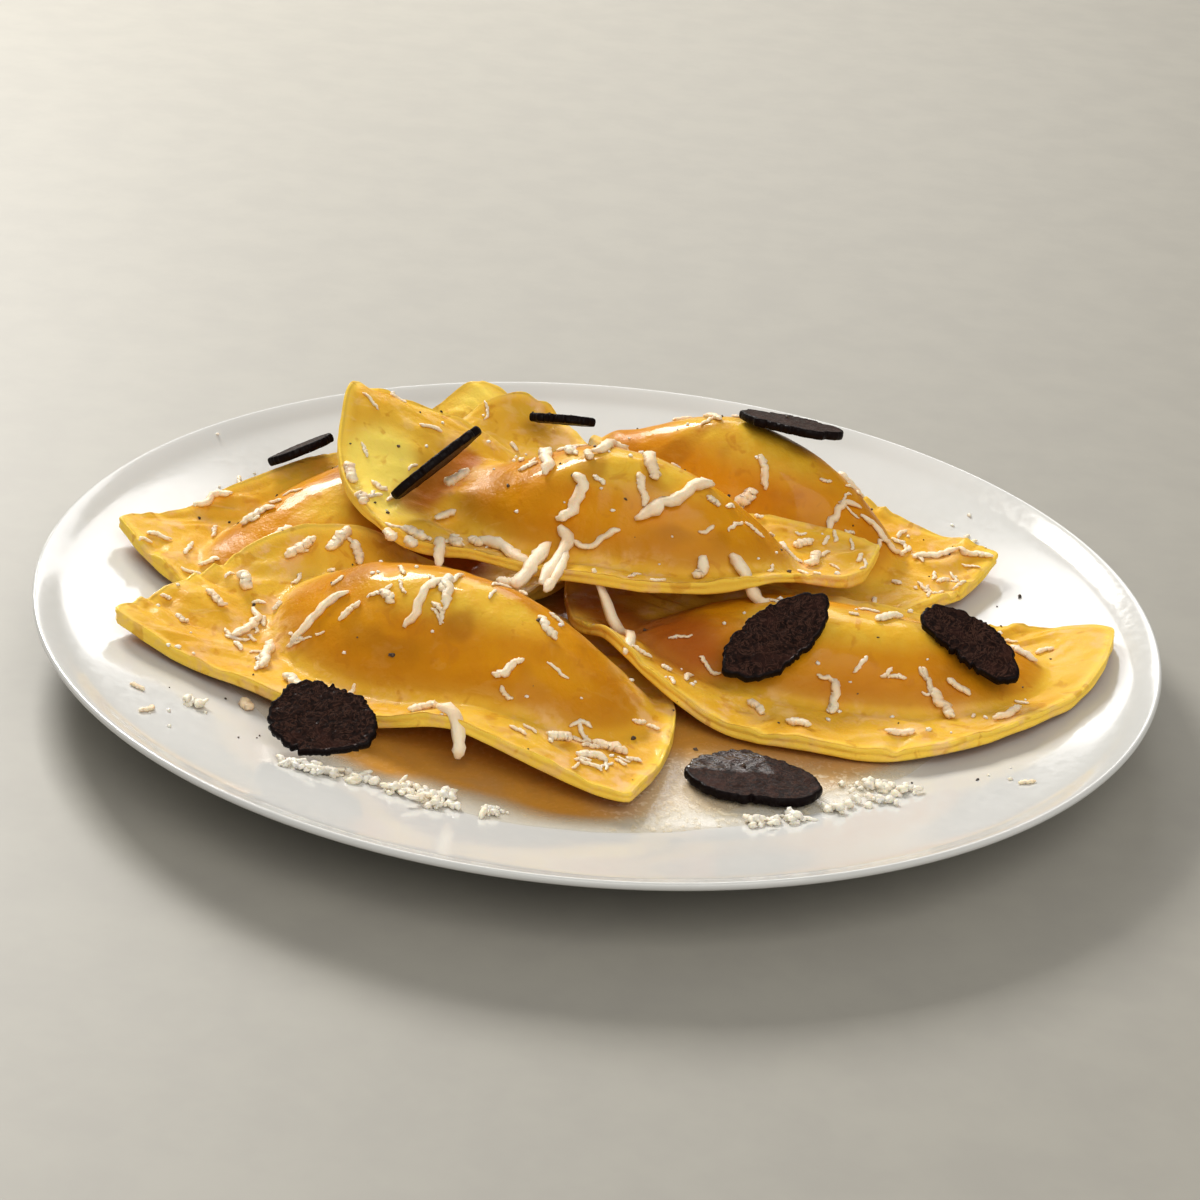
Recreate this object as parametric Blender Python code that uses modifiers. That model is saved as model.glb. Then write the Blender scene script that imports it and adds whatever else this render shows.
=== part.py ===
"""Half-moon ravioli heaped on a round glazed plate, with slices of black truffle.

Sizes are in millimetres until a mesh is made.  X runs left to right, Y runs
front to back and Z points up from the plate's foot, on the plate's axis.
"""
import math

import bmesh
import bpy
import numpy as np
from mathutils import Matrix, Vector
from mathutils.bvhtree import BVHTree

MM = 0.001

# Plate
PLATE_RADIUS = 120.0
RIM_HEIGHT = 17.0
FLOOR_HEIGHT = 6.0
WELL_RADIUS = 80.0
FOOT_RADIUS = 66.0
FOOT_WIDTH = 4.0
FOOT_RECESS = 2.0
PLATE_TURN_STEPS = 60

# Dough and filling
DOUGH_THICKNESS = 2.4
EDGE_ROUNDING = 0.5
RIM_POINTS = 40
TOP_RINGS = (0.0, 0.24, 0.46, 0.63, 0.77, 0.89, 1.0)
UNDER_RINGS = (0.0, 0.3, 0.55, 0.76, 0.9, 1.0)
RING_CENTRE = 0.42

# Lying on what is below
GRID_STEP = 1.5
GRID_HALF = 84
GAP = 0.45

# Ravioli, from the bottom of the heap to the top.  "edge" is the middle of the
# straight edge, "turn" its direction in degrees, the curved side being on its left.
# "blunt" is low for a wide end, first the end behind and then the end ahead.
# "mound" is the filling: its centre and half sizes along and across the straight
# edge, then its height.  "lifts" raise the dough at (x, y) within a radius.
RAVIOLI = (
    dict(name="raviolo_back", edge=(-18.0, 80.0), turn=181.0, half=43.0, depth=48.0,
         blunt=(0.92, 0.92), skew=0.0, mound=(0.0, 23.0, 31.0, 16.0, 8.0),
         ripple=(2.5, 7, 0.3), sheet=60, lifts=((-31.0, 79.0, 13.0, 20.0),)),
    dict(name="raviolo_back_left", edge=(-60.5, 48.5), turn=215.0, half=58.0, depth=58.0,
         blunt=(0.92, 0.92), skew=0.0, mound=(9.0, 24.0, 38.0, 18.0, 14.0),
         ripple=(2.6, 9, 1.1), sheet=60, lifts=((-69.0, 47.0, 24.0, 12.0),)),
    dict(name="raviolo_front_left", edge=(-46.0, -54.0), turn=-24.0, half=60.0, depth=60.0,
         blunt=(0.9, 0.64), skew=0.0, mound=(7.0, 30.0, 43.0, 21.0, 20.0),
         ripple=(2.2, 8, 2.2), sheet=60, lifts=((-22.0, -62.0, 20.0, 7.0),)),
    dict(name="raviolo_back_right", edge=(47.0, 66.2), turn=151.0, half=50.0, depth=56.0,
         blunt=(0.92, 0.92), skew=0.0, mound=(7.0, 19.0, 38.0, 18.0, 21.0),
         ripple=(2.4, 8, 0.6), sheet=60, lifts=((48.0, 58.0, 26.0, 7.0),)),
    dict(name="raviolo_front_right", edge=(52.0, 12.0), turn=175.0, half=60.0, depth=58.0,
         blunt=(0.92, 0.92), skew=0.0, mound=(-2.0, 24.0, 44.0, 19.0, 14.0),
         ripple=(1.8, 7, 1.7), sheet=60, lifts=()),
    dict(name="raviolo_top", edge=(1.3, 37.0), turn=172.0, half=61.0, depth=47.0,
         blunt=(0.95, 0.7), skew=0.1, mound=(-4.0, 19.5, 40.0, 19.5, 20.5),
         ripple=(2.0, 9, 0.0), sheet=90,
         lifts=((-62.0, 42.0, 15.0, 13.0), (-30.0, 46.0, 18.0, 8.0), (-8.0, -12.0, 34.0, 7.0))),
)

# Truffle slices: centre, half length, half width, direction of the long axis,
# waist, and either a lean (azimuth, degrees from level) or None to lie on what is below.
SLICE_THICKNESS = 2.0
SLICE_EDGE = 0.4
SLICE_POINTS = 20
SLICES = (
    dict(name="truffle_front_left", centre=(-52.5, -62.5), half=(11.4, 9.0), turn=-14.0,
         waist=0.05, lean=(-95.0, 27.0), seed=1.3),
    dict(name="truffle_front", centre=(33.0, -61.5), half=(14.0, 9.8), turn=-12.0,
         waist=0.06, lean=(0.0, 0.0), seed=2.1),
    dict(name="truffle_centre_right", centre=(37.5, -23.0), half=(14.5, 8.0), turn=50.0,
         waist=0.22, lean=None, seed=0.4),
    dict(name="truffle_far_right", centre=(77.5, -20.5), half=(13.5, 6.0), turn=-48.0,
         waist=0.15, lean=(-100.0, 24.0), seed=3.2),
    dict(name="truffle_on_top", centre=(-37.8, 14.0), half=(14.0, 9.0), turn=43.0,
         waist=0.04, lean=(157.0, 50.0), seed=4.4),
    dict(name="truffle_back_right", centre=(40.0, 51.5), half=(12.5, 8.0), turn=-20.0,
         waist=0.08, lean=(70.0, 13.0), seed=5.3),
    dict(name="truffle_back_left", centre=(-70.0, 41.5), half=(8.5, 6.5), turn=40.0,
         waist=0.05, lean=(150.0, 30.0), seed=6.1),
    dict(name="truffle_back", centre=(-12.5, 65.0), half=(8.0, 6.0), turn=0.0,
         waist=0.06, lean=(90.0, 25.0), seed=7.2),
)


def smoothstep(x):
    """Rise from 0 to 1 without a corner at either end."""
    x = np.clip(x, 0.0, 1.0)
    return x * x * (3.0 - 2.0 * x)


def make_collection(name):
    """New collection linked to the scene."""
    collection = bpy.data.collections.new(name)
    bpy.context.scene.collection.children.link(collection)
    return collection


def make_material(name, colour, roughness):
    """Plain Principled material."""
    material = bpy.data.materials.new(name)
    material.use_nodes = True
    shader = material.node_tree.nodes["Principled BSDF"]
    shader.inputs["Base Color"].default_value = (*colour, 1.0)
    shader.inputs["Roughness"].default_value = roughness
    return material


def add_object(name, verts_mm, faces, material, collection, triangles=False):
    """Mesh object with its outside facing out, from millimetre vertices."""
    mesh = bpy.data.meshes.new(name)
    mesh.from_pydata([tuple(c * MM for c in v) for v in verts_mm], [], faces)
    work = bmesh.new()
    work.from_mesh(mesh)
    bmesh.ops.recalc_face_normals(work, faces=work.faces)
    if triangles:
        bmesh.ops.triangulate(work, faces=work.faces)
    work.to_mesh(mesh)
    work.free()
    mesh.materials.append(material)
    obj = bpy.data.objects.new(name, mesh)
    collection.objects.link(obj)
    return obj


# --- plate

def plate_top_profile():
    """Eating side from the middle to the lip, as (radius, height)."""
    rise = RIM_HEIGHT - FLOOR_HEIGHT
    steps = ((0.0, 0.0), (WELL_RADIUS - 2.0, 0.0), (WELL_RADIUS + 4.0, 0.05 * rise),
             (WELL_RADIUS + 12.0, 0.22 * rise), (WELL_RADIUS + 21.0, 0.43 * rise),
             (PLATE_RADIUS - 11.0, 0.61 * rise), (PLATE_RADIUS - 6.5, 0.73 * rise),
             (PLATE_RADIUS - 3.2, 0.89 * rise), (PLATE_RADIUS - 1.2, 0.98 * rise))
    return [(r, FLOOR_HEIGHT + z) for r, z in steps]


def plate_lip_and_under():
    """Lip, underside and foot ring, from the lip back to the axis."""
    outer = FOOT_RADIUS + FOOT_WIDTH / 2.0
    inner = FOOT_RADIUS - FOOT_WIDTH / 2.0
    return [
        (PLATE_RADIUS - 0.4, RIM_HEIGHT - 0.1),
        (PLATE_RADIUS, RIM_HEIGHT - 0.7),
        (PLATE_RADIUS - 0.3, RIM_HEIGHT - 1.5),
        (PLATE_RADIUS - 3.5, RIM_HEIGHT - 3.4),
        (PLATE_RADIUS - 12.0, RIM_HEIGHT - 7.4),
        (PLATE_RADIUS - 25.0, RIM_HEIGHT - 11.0),
        (WELL_RADIUS, 3.2),
        (outer + 2.5, FOOT_RECESS + 0.4),
        (outer + 0.6, FOOT_RECESS - 0.4),
        (outer, 0.4),
        (outer - 0.6, 0.0),
        (inner + 0.6, 0.0),
        (inner, 0.4),
        (inner - 0.5, FOOT_RECESS - 0.3),
        (inner - 1.4, FOOT_RECESS),
        (0.0, FOOT_RECESS),
    ]


def build_plate(material, collection):
    """Plate turned about the Z axis."""
    profile = plate_top_profile() + plate_lip_and_under()
    mesh = bpy.data.meshes.new("plate")
    verts = [(r * MM, 0.0, z * MM) for r, z in profile]
    mesh.from_pydata(verts, [(i, i + 1) for i in range(len(verts) - 1)], [])
    mesh.materials.append(material)
    obj = bpy.data.objects.new("plate", mesh)
    collection.objects.link(obj)
    screw = obj.modifiers.new("turn", "SCREW")
    screw.axis = "Z"
    screw.angle = math.tau
    screw.screw_offset = 0.0
    screw.steps = PLATE_TURN_STEPS
    screw.render_steps = PLATE_TURN_STEPS
    screw.use_merge_vertices = True
    screw.merge_threshold = 0.00001
    return obj


# --- what lies on the plate so far, as heights on a square grid

def grid_axes():
    """Grid coordinates along X and Y."""
    line = np.arange(-GRID_HALF, GRID_HALF + 1) * GRID_STEP
    return np.meshgrid(line, line, indexing="ij")


def plate_heights(xs, ys):
    """Height of the plate's eating side."""
    radii, heights = zip(*plate_top_profile())
    return np.interp(np.hypot(xs, ys), radii, heights)


def raise_heights(heights, obj):
    """Raise the grid to the top of an object that now lies on it."""
    bpy.context.view_layer.update()
    shown = obj.evaluated_get(bpy.context.evaluated_depsgraph_get())
    mesh = shown.to_mesh()
    verts = [shown.matrix_world @ v.co for v in mesh.vertices]
    tree = BVHTree.FromPolygons(verts, [tuple(p.vertices) for p in mesh.polygons])
    shown.to_mesh_clear()
    lows = [int(min(v[k] for v in verts) / MM / GRID_STEP + GRID_HALF) for k in (0, 1)]
    highs = [int(max(v[k] for v in verts) / MM / GRID_STEP + GRID_HALF) for k in (0, 1)]
    down = Vector((0.0, 0.0, -1.0))
    for i in range(lows[0], highs[0] + 2):
        for j in range(lows[1], highs[1] + 2):
            above = Vector((i - GRID_HALF, j - GRID_HALF, 300.0)) * GRID_STEP * MM
            hit = tree.ray_cast(above, down)[0]
            if hit is not None:
                heights[i, j] = max(heights[i, j], hit.z / MM)


def neighbours(values):
    """The nine values around every grid point."""
    padded = np.pad(values, 1, mode="edge")
    n, m = values.shape
    return [padded[a:a + n, b:b + m] for a in range(3) for b in range(3)]


def sample(values, x, y):
    """Value between grid points."""
    fx = np.clip(np.asarray(x) / GRID_STEP + GRID_HALF, 0.0, 2 * GRID_HALF - 0.001)
    fy = np.clip(np.asarray(y) / GRID_STEP + GRID_HALF, 0.0, 2 * GRID_HALF - 0.001)
    i = fx.astype(int)
    j = fy.astype(int)
    a = fx - i
    b = fy - j
    near = values[i, j] * (1 - b) + values[i, j + 1] * b
    far = values[i + 1, j] * (1 - b) + values[i + 1, j + 1] * b
    return near * (1 - a) + far * a


def drape(heights, inside, rounds):
    """Underside of soft dough lying on the grid: it bridges hollows, never sinks."""
    support = heights
    for _ in range(2):
        support = np.maximum.reduce(neighbours(support))
    weight = inside.astype(float)
    shares = sum(neighbours(weight)) + 1e-9
    sheet = support.copy()
    for _ in range(rounds):
        blurred = sum(neighbours(sheet * weight)) / shares
        sheet = np.where(inside, np.maximum(support, blurred), support)
    return sheet + GAP


# --- ravioli

def half_moon(spec, count):
    """Half-moon outline with rounded corners, counterclockwise, evenly spaced."""
    half, depth = spec["half"], spec["depth"]
    fine = []
    for k in range(720):
        a = math.tau * k / 720
        c, s = math.cos(a), math.sin(a)
        u = half * math.copysign(abs(c) ** spec["blunt"][c > 0.0], c)
        if s >= 0.0:
            v = depth * s ** 0.96
        else:
            v = -0.075 * depth * abs(s) ** 0.55
        fine.append((u + spec["skew"] * v, v + 0.05 * depth))
    points = np.array(fine)
    steps = np.hypot(*(np.roll(points, -1, axis=0) - points).T)
    along = np.concatenate(([0.0], np.cumsum(steps)))
    closed = np.vstack((points, points[:1]))
    wanted = np.arange(count) * along[-1] / count
    return np.stack([np.interp(wanted, along, closed[:, k]) for k in (0, 1)], axis=1)


def to_plate(spec, uv):
    """Points along and across a raviolo's straight edge, on the plate."""
    turn = math.radians(spec["turn"])
    c, s = math.cos(turn), math.sin(turn)
    x = spec["edge"][0] + uv[..., 0] * c - uv[..., 1] * s
    y = spec["edge"][1] + uv[..., 0] * s + uv[..., 1] * c
    return x, y


def inside_outline(spec, xs, ys):
    """Grid points covered by a raviolo."""
    turn = math.radians(spec["turn"])
    c, s = math.cos(turn), math.sin(turn)
    dx = xs - spec["edge"][0]
    dy = ys - spec["edge"][1]
    u = dx * c + dy * s
    v = -dx * s + dy * c
    rim = half_moon(spec, 180)
    centre = np.array((0.0, RING_CENTRE * spec["depth"]))
    rim_angle = np.unwrap(np.arctan2(*(rim - centre).T[::-1]))
    rim_radius = np.hypot(*(rim - centre).T)
    order = np.argsort(np.mod(rim_angle, math.tau))
    angle = np.mod(np.arctan2(v - centre[1], u), math.tau)
    limit = np.interp(angle, np.mod(rim_angle, math.tau)[order], rim_radius[order],
                      period=math.tau)
    return np.hypot(u, v - centre[1]) <= limit


def ripple_and_lifts(spec, ring, turn_angle, x, y):
    """Waves of the free edge and places where the dough stands up."""
    size, waves, start = spec["ripple"]
    near_rim = smoothstep((ring - 0.62) / 0.38)
    wave = 0.5 + 0.3 * math.sin(waves * turn_angle + start)
    wave += 0.2 * math.sin((waves + 5) * turn_angle + 2.7 * start)
    up = size * near_rim * wave
    for lift_x, lift_y, reach, height in spec["lifts"]:
        gap2 = (x - lift_x) ** 2 + (y - lift_y) ** 2
        up += height * math.exp(-gap2 / (reach * reach))
    return up


def mound_height(spec, uv):
    """Filling under the dough: a long cushion with a slightly lumpy top."""
    u0, v0, half_u, half_v, height = spec["mound"]
    p = (uv[0] - u0) / half_u
    q = (uv[1] - v0) / half_v
    away = (abs(p) ** 2.3 + abs(q) ** 2.3) ** (1.0 / 2.3)
    if away >= 1.0:
        return 0.0
    lumps = 1.0 + 0.05 * math.sin(4.1 * p + spec["turn"]) + 0.04 * math.sin(3.3 * q - 2.0 * p)
    return height * lumps * (1.0 - away ** 2.2) ** 1.15


def build_raviolo(spec, heights, xs, ys, material, collection):
    """Closed half-moon: draped underside, dough on top raised by the filling."""
    under = drape(heights, inside_outline(spec, xs, ys), spec["sheet"])
    rim = half_moon(spec, RIM_POINTS)
    centre = np.array((0.0, RING_CENTRE * spec["depth"]))
    verts = []
    faces = []

    def add_ring(ring, top, inset):
        start = len(verts)
        share = ring - inset / spec["depth"]
        points = centre[None] + share * (rim - centre)
        if ring == 0.0:
            points = points[:1]
        for k, uv in enumerate(points):
            x, y = to_plate(spec, uv)
            x, y = float(x), float(y)
            z = float(sample(under, x, y))
            z += ripple_and_lifts(spec, ring, math.tau * k / RIM_POINTS, x, y)
            if top:
                z += DOUGH_THICKNESS + mound_height(spec, uv)
            verts.append((x, y, z))
        return start

    def join(inner, outer, inner_is_point):
        for k in range(RIM_POINTS):
            n = (k + 1) % RIM_POINTS
            if inner_is_point:
                faces.append((inner, outer + k, outer + n))
            else:
                faces.append((inner + k, outer + k, outer + n, inner + n))

    tops = [add_ring(r, True, EDGE_ROUNDING if r == 1.0 else 0.0) for r in TOP_RINGS]
    lows = [add_ring(r, False, EDGE_ROUNDING if r == 1.0 else 0.0) for r in UNDER_RINGS]
    for rings in (tops, lows):
        for k in range(len(rings) - 1):
            join(rings[k], rings[k + 1], k == 0)
    side = len(verts)
    for k in range(RIM_POINTS):
        x, y = to_plate(spec, rim[k])
        z = (verts[tops[-1] + k][2] + verts[lows[-1] + k][2]) / 2.0
        verts.append((float(x), float(y), z))
    join(tops[-1], side, False)
    join(lows[-1], side, False)
    return add_object(spec["name"], verts, faces, material, collection, triangles=True)


# --- truffle slices

def slice_outline(spec):
    """Uneven oval with a waist on one side."""
    points = []
    for k in range(SLICE_POINTS):
        a = math.tau * k / SLICE_POINTS
        wobble = 1.0 + 0.045 * math.sin(3 * a + spec["seed"])
        wobble += 0.03 * math.sin(5 * a + 2.3 * spec["seed"])
        wobble += 0.02 * math.sin(9 * a + 4.1 * spec["seed"])
        wobble -= spec["waist"] * max(0.0, -math.sin(a)) ** 3
        points.append((spec["half"][0] * wobble * math.cos(a),
                       spec["half"][1] * wobble * math.sin(a)))
    return points


def slice_frame(spec, heights):
    """Rotation of a slice: its normal leans as asked, or follows what is below."""
    turn = math.radians(spec["turn"])
    cx, cy = spec["centre"]
    if spec["lean"] is None:
        c, s = math.cos(turn), math.sin(turn)
        rows = []
        levels = []
        for u, v in slice_outline(spec) + [(0.0, 0.0)]:
            x = u * c - v * s
            y = u * s + v * c
            rows.append((x, y, 1.0))
            levels.append(float(sample(heights, cx + x, cy + y)))
        slope = np.linalg.lstsq(np.array(rows), np.array(levels), rcond=None)[0]
        normal = Vector((-slope[0], -slope[1], 1.0)).normalized()
    else:
        azimuth, tilt = (math.radians(a) for a in spec["lean"])
        normal = Vector((math.sin(tilt) * math.cos(azimuth),
                         math.sin(tilt) * math.sin(azimuth), math.cos(tilt)))
    long_way = Vector((math.cos(turn), math.sin(turn), 0.0))
    long_way = (long_way - normal * long_way.dot(normal)).normalized()
    cross = normal.cross(long_way)
    return Matrix((long_way, cross, normal)).transposed()


def build_slice(spec, heights, material, collection):
    """Thin slice with worn edges, let down until it touches."""
    outline = slice_outline(spec)
    flat = [(u, v, 0.0) for u, v in outline]
    obj = add_object(spec["name"], flat, [tuple(range(SLICE_POINTS))], material, collection)
    solidify = obj.modifiers.new("thickness", "SOLIDIFY")
    solidify.thickness = SLICE_THICKNESS * MM
    solidify.offset = 0.0
    bevel = obj.modifiers.new("worn_edge", "BEVEL")
    bevel.width = SLICE_EDGE * MM
    bevel.segments = 1
    bevel.limit_method = "ANGLE"

    frame = slice_frame(spec, heights)
    support = np.maximum.reduce(neighbours(heights))
    base = -1000.0
    for share in (0.0, 0.3, 0.6, 0.8, 1.0):
        for u, v in outline:
            p = frame @ Vector((u * share, v * share, -SLICE_THICKNESS / 2.0))
            level = sample(support, spec["centre"][0] + p.x, spec["centre"][1] + p.y)
            base = max(base, float(level) + GAP - p.z)
    obj.rotation_mode = "QUATERNION"
    obj.rotation_quaternion = frame.to_quaternion()
    obj.location = (spec["centre"][0] * MM, spec["centre"][1] * MM, base * MM)
    return obj


def main():
    for obj in list(bpy.data.objects):
        bpy.data.objects.remove(obj, do_unlink=True)
    dish = make_collection("ravioli_on_plate")
    glaze = make_material("glaze", (0.86, 0.86, 0.84), 0.12)
    dough = make_material("dough", (0.78, 0.55, 0.16), 0.35)
    truffle = make_material("truffle", (0.06, 0.035, 0.025), 0.5)

    build_plate(glaze, dish)
    xs, ys = grid_axes()
    heights = plate_heights(xs, ys)
    for spec in RAVIOLI:
        obj = build_raviolo(spec, heights, xs, ys, dough, dish)
        raise_heights(heights, obj)
    for spec in SLICES:
        obj = build_slice(spec, heights, truffle, dish)
        raise_heights(heights, obj)


main()
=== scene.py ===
"""Looks of a plate of half-moon ravioli with truffle, grated cheese and butter.

Sizes are in millimetres until a mesh is made.  X runs left to right, Y runs
front to back and Z points up from the plate's foot.
"""
import math
import random

import bpy
import numpy as np
from mathutils import Matrix, Vector, noise
from mathutils.bvhtree import BVHTree


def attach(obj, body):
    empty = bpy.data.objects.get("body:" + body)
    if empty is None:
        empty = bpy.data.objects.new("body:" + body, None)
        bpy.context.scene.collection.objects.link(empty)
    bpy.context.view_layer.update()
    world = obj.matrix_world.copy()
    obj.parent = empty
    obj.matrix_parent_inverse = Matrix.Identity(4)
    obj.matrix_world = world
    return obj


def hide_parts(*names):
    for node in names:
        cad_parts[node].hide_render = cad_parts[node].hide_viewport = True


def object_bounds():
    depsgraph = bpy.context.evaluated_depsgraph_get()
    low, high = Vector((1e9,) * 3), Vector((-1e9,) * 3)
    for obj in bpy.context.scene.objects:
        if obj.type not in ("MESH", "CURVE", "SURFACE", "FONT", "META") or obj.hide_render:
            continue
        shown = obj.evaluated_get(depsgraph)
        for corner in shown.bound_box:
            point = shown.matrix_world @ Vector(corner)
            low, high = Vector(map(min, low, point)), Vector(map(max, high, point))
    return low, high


MM = 0.001
ABOVE, BELOW = 200.0, -50.0     # where rays onto the food start
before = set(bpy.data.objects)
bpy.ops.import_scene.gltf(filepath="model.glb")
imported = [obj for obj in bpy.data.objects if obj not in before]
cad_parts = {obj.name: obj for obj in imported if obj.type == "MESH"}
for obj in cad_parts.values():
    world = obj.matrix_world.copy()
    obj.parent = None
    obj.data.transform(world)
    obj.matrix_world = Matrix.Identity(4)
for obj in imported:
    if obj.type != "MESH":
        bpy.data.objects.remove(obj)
cad_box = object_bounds()

# Ravioli, as in the part: middle and direction of the straight edge, half length, depth,
# shape of the ends ("blunt", "skew"), and the filling ("mound": centre, half sizes, height).
# Then "soft", how far its bends are smoothed; "folds", how strongly its edge is creased;
# "seam", how deep the groove between its sheets is; "dry_and_lit", how much of it, and from
# which share of its length on, is painted a paler yellow, as dry dough and, on lit corners and
# tops, as painted light; "ridge", the side of the filling with a flat slope, and how flat, which
# also sets how much paler its far slope is painted, as painted light; and "painted_shade", a
# line on the plate along which painted shadow darkens it reddish brown, and its reach.
USUAL = dict(blunt=(0.92, 0.92), skew=0.0, soft=2.8, folds=1.0, seam=0.15, dry_and_lit=(0.1, -2.0),
             ridge=(1.0, 0.4), painted_shade=None)
RAVIOLI = (
    dict(USUAL, name="raviolo_back", edge=(-18.0, 80.0), turn=181.0, half=43.0, depth=48.0,
         mound=(0.0, 23.0, 31.0, 16.0, 8.0), dry_and_lit=(0.5, -2.0), ridge=(1.0, 0.3)),
    dict(USUAL, name="raviolo_back_left", edge=(-60.5, 48.5), turn=215.0, half=58.0, depth=58.0,
         mound=(9.0, 24.0, 38.0, 18.0, 14.0), folds=1.6,
         painted_shade=((-30.0, 22.0), (-44.0, 14.0), 7.0)),
    dict(USUAL, name="raviolo_front_left", edge=(-46.0, -54.0), turn=-24.0, half=60.0, depth=60.0,
         blunt=(0.9, 0.64), mound=(7.0, 30.0, 43.0, 21.0, 20.0), seam=0.18, dry_and_lit=(0.0, -2.0),
         ridge=(-1.0, 1.0)),
    dict(USUAL, name="raviolo_back_right", edge=(47.0, 66.2), turn=151.0, half=50.0, depth=56.0,
         mound=(7.0, 19.0, 38.0, 18.0, 21.0), folds=1.7),
    dict(USUAL, name="raviolo_front_right", edge=(52.0, 12.0), turn=175.0, half=60.0, depth=58.0,
         mound=(-2.0, 24.0, 44.0, 19.0, 14.0), folds=1.2, seam=0.3, ridge=(1.0, 0.3),
         painted_shade=((0.0, 0.0), (19.0, -20.0), 10.0)),
    dict(USUAL, name="raviolo_top", edge=(1.3, 37.0), turn=172.0, half=61.0, depth=47.0,
         blunt=(0.95, 0.7), skew=0.1, mound=(-4.0, 19.5, 40.0, 19.5, 20.5), soft=4.2, folds=1.1,
         seam=0.12, dry_and_lit=(0.5, 0.45), ridge=(1.0, 0.7),
         painted_shade=((-43.0, 14.0), (-32.0, 31.0), 4.5)),
)
RING_CENTRE = 0.42          # middle of a raviolo's rings, as a share of its depth
RIM_POINTS = 260
RINGS = 54
FIELD_STEP = 1.0            # grid on which the solids' heights are read
DOUGH = 2.0                 # two sheets, one on the other
THINNEST = 1.9
OVER_PLATE = 0.35
SHARP_EDGE = 50.0           # degrees from which a bend in the dough is an edge

# Eating side of the plate: radius and height.
PLATE_TOP = ((0, 6), (30, 6), (60, 6), (74, 6), (78, 6), (84, 6.55), (92, 8.42), (101, 10.73),
             (109, 12.71), (113.5, 14.03), (116.8, 15.79), (118.8, 16.78))
# The rest of its section: rim, underside, foot ring and bottom.
PLATE_REST = ((119.6, 16.9), (120, 16.3), (119.7, 15.5), (116.5, 13.6), (108, 9.6), (95, 6.0),
              (80, 3.2), (70.5, 2.4), (68.6, 1.6), (68, 0.4), (67.4, 0), (66, 0), (64.6, 0),
              (64, 0.4), (63.5, 1.7), (62.6, 2), (50, 2), (30, 2), (0, 2))
EATING_SIDE = np.array(PLATE_TOP, dtype=float).T
PLATE_RADIUS = 120.0
PLATE_STEPS = 240

SLICES = ("truffle_front_left", "truffle_front", "truffle_centre_right", "truffle_far_right",
          "truffle_on_top", "truffle_back_right", "truffle_back_left", "truffle_back")
WET_SLICE = "truffle_front"
SLICE_POINTS = 160

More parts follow.
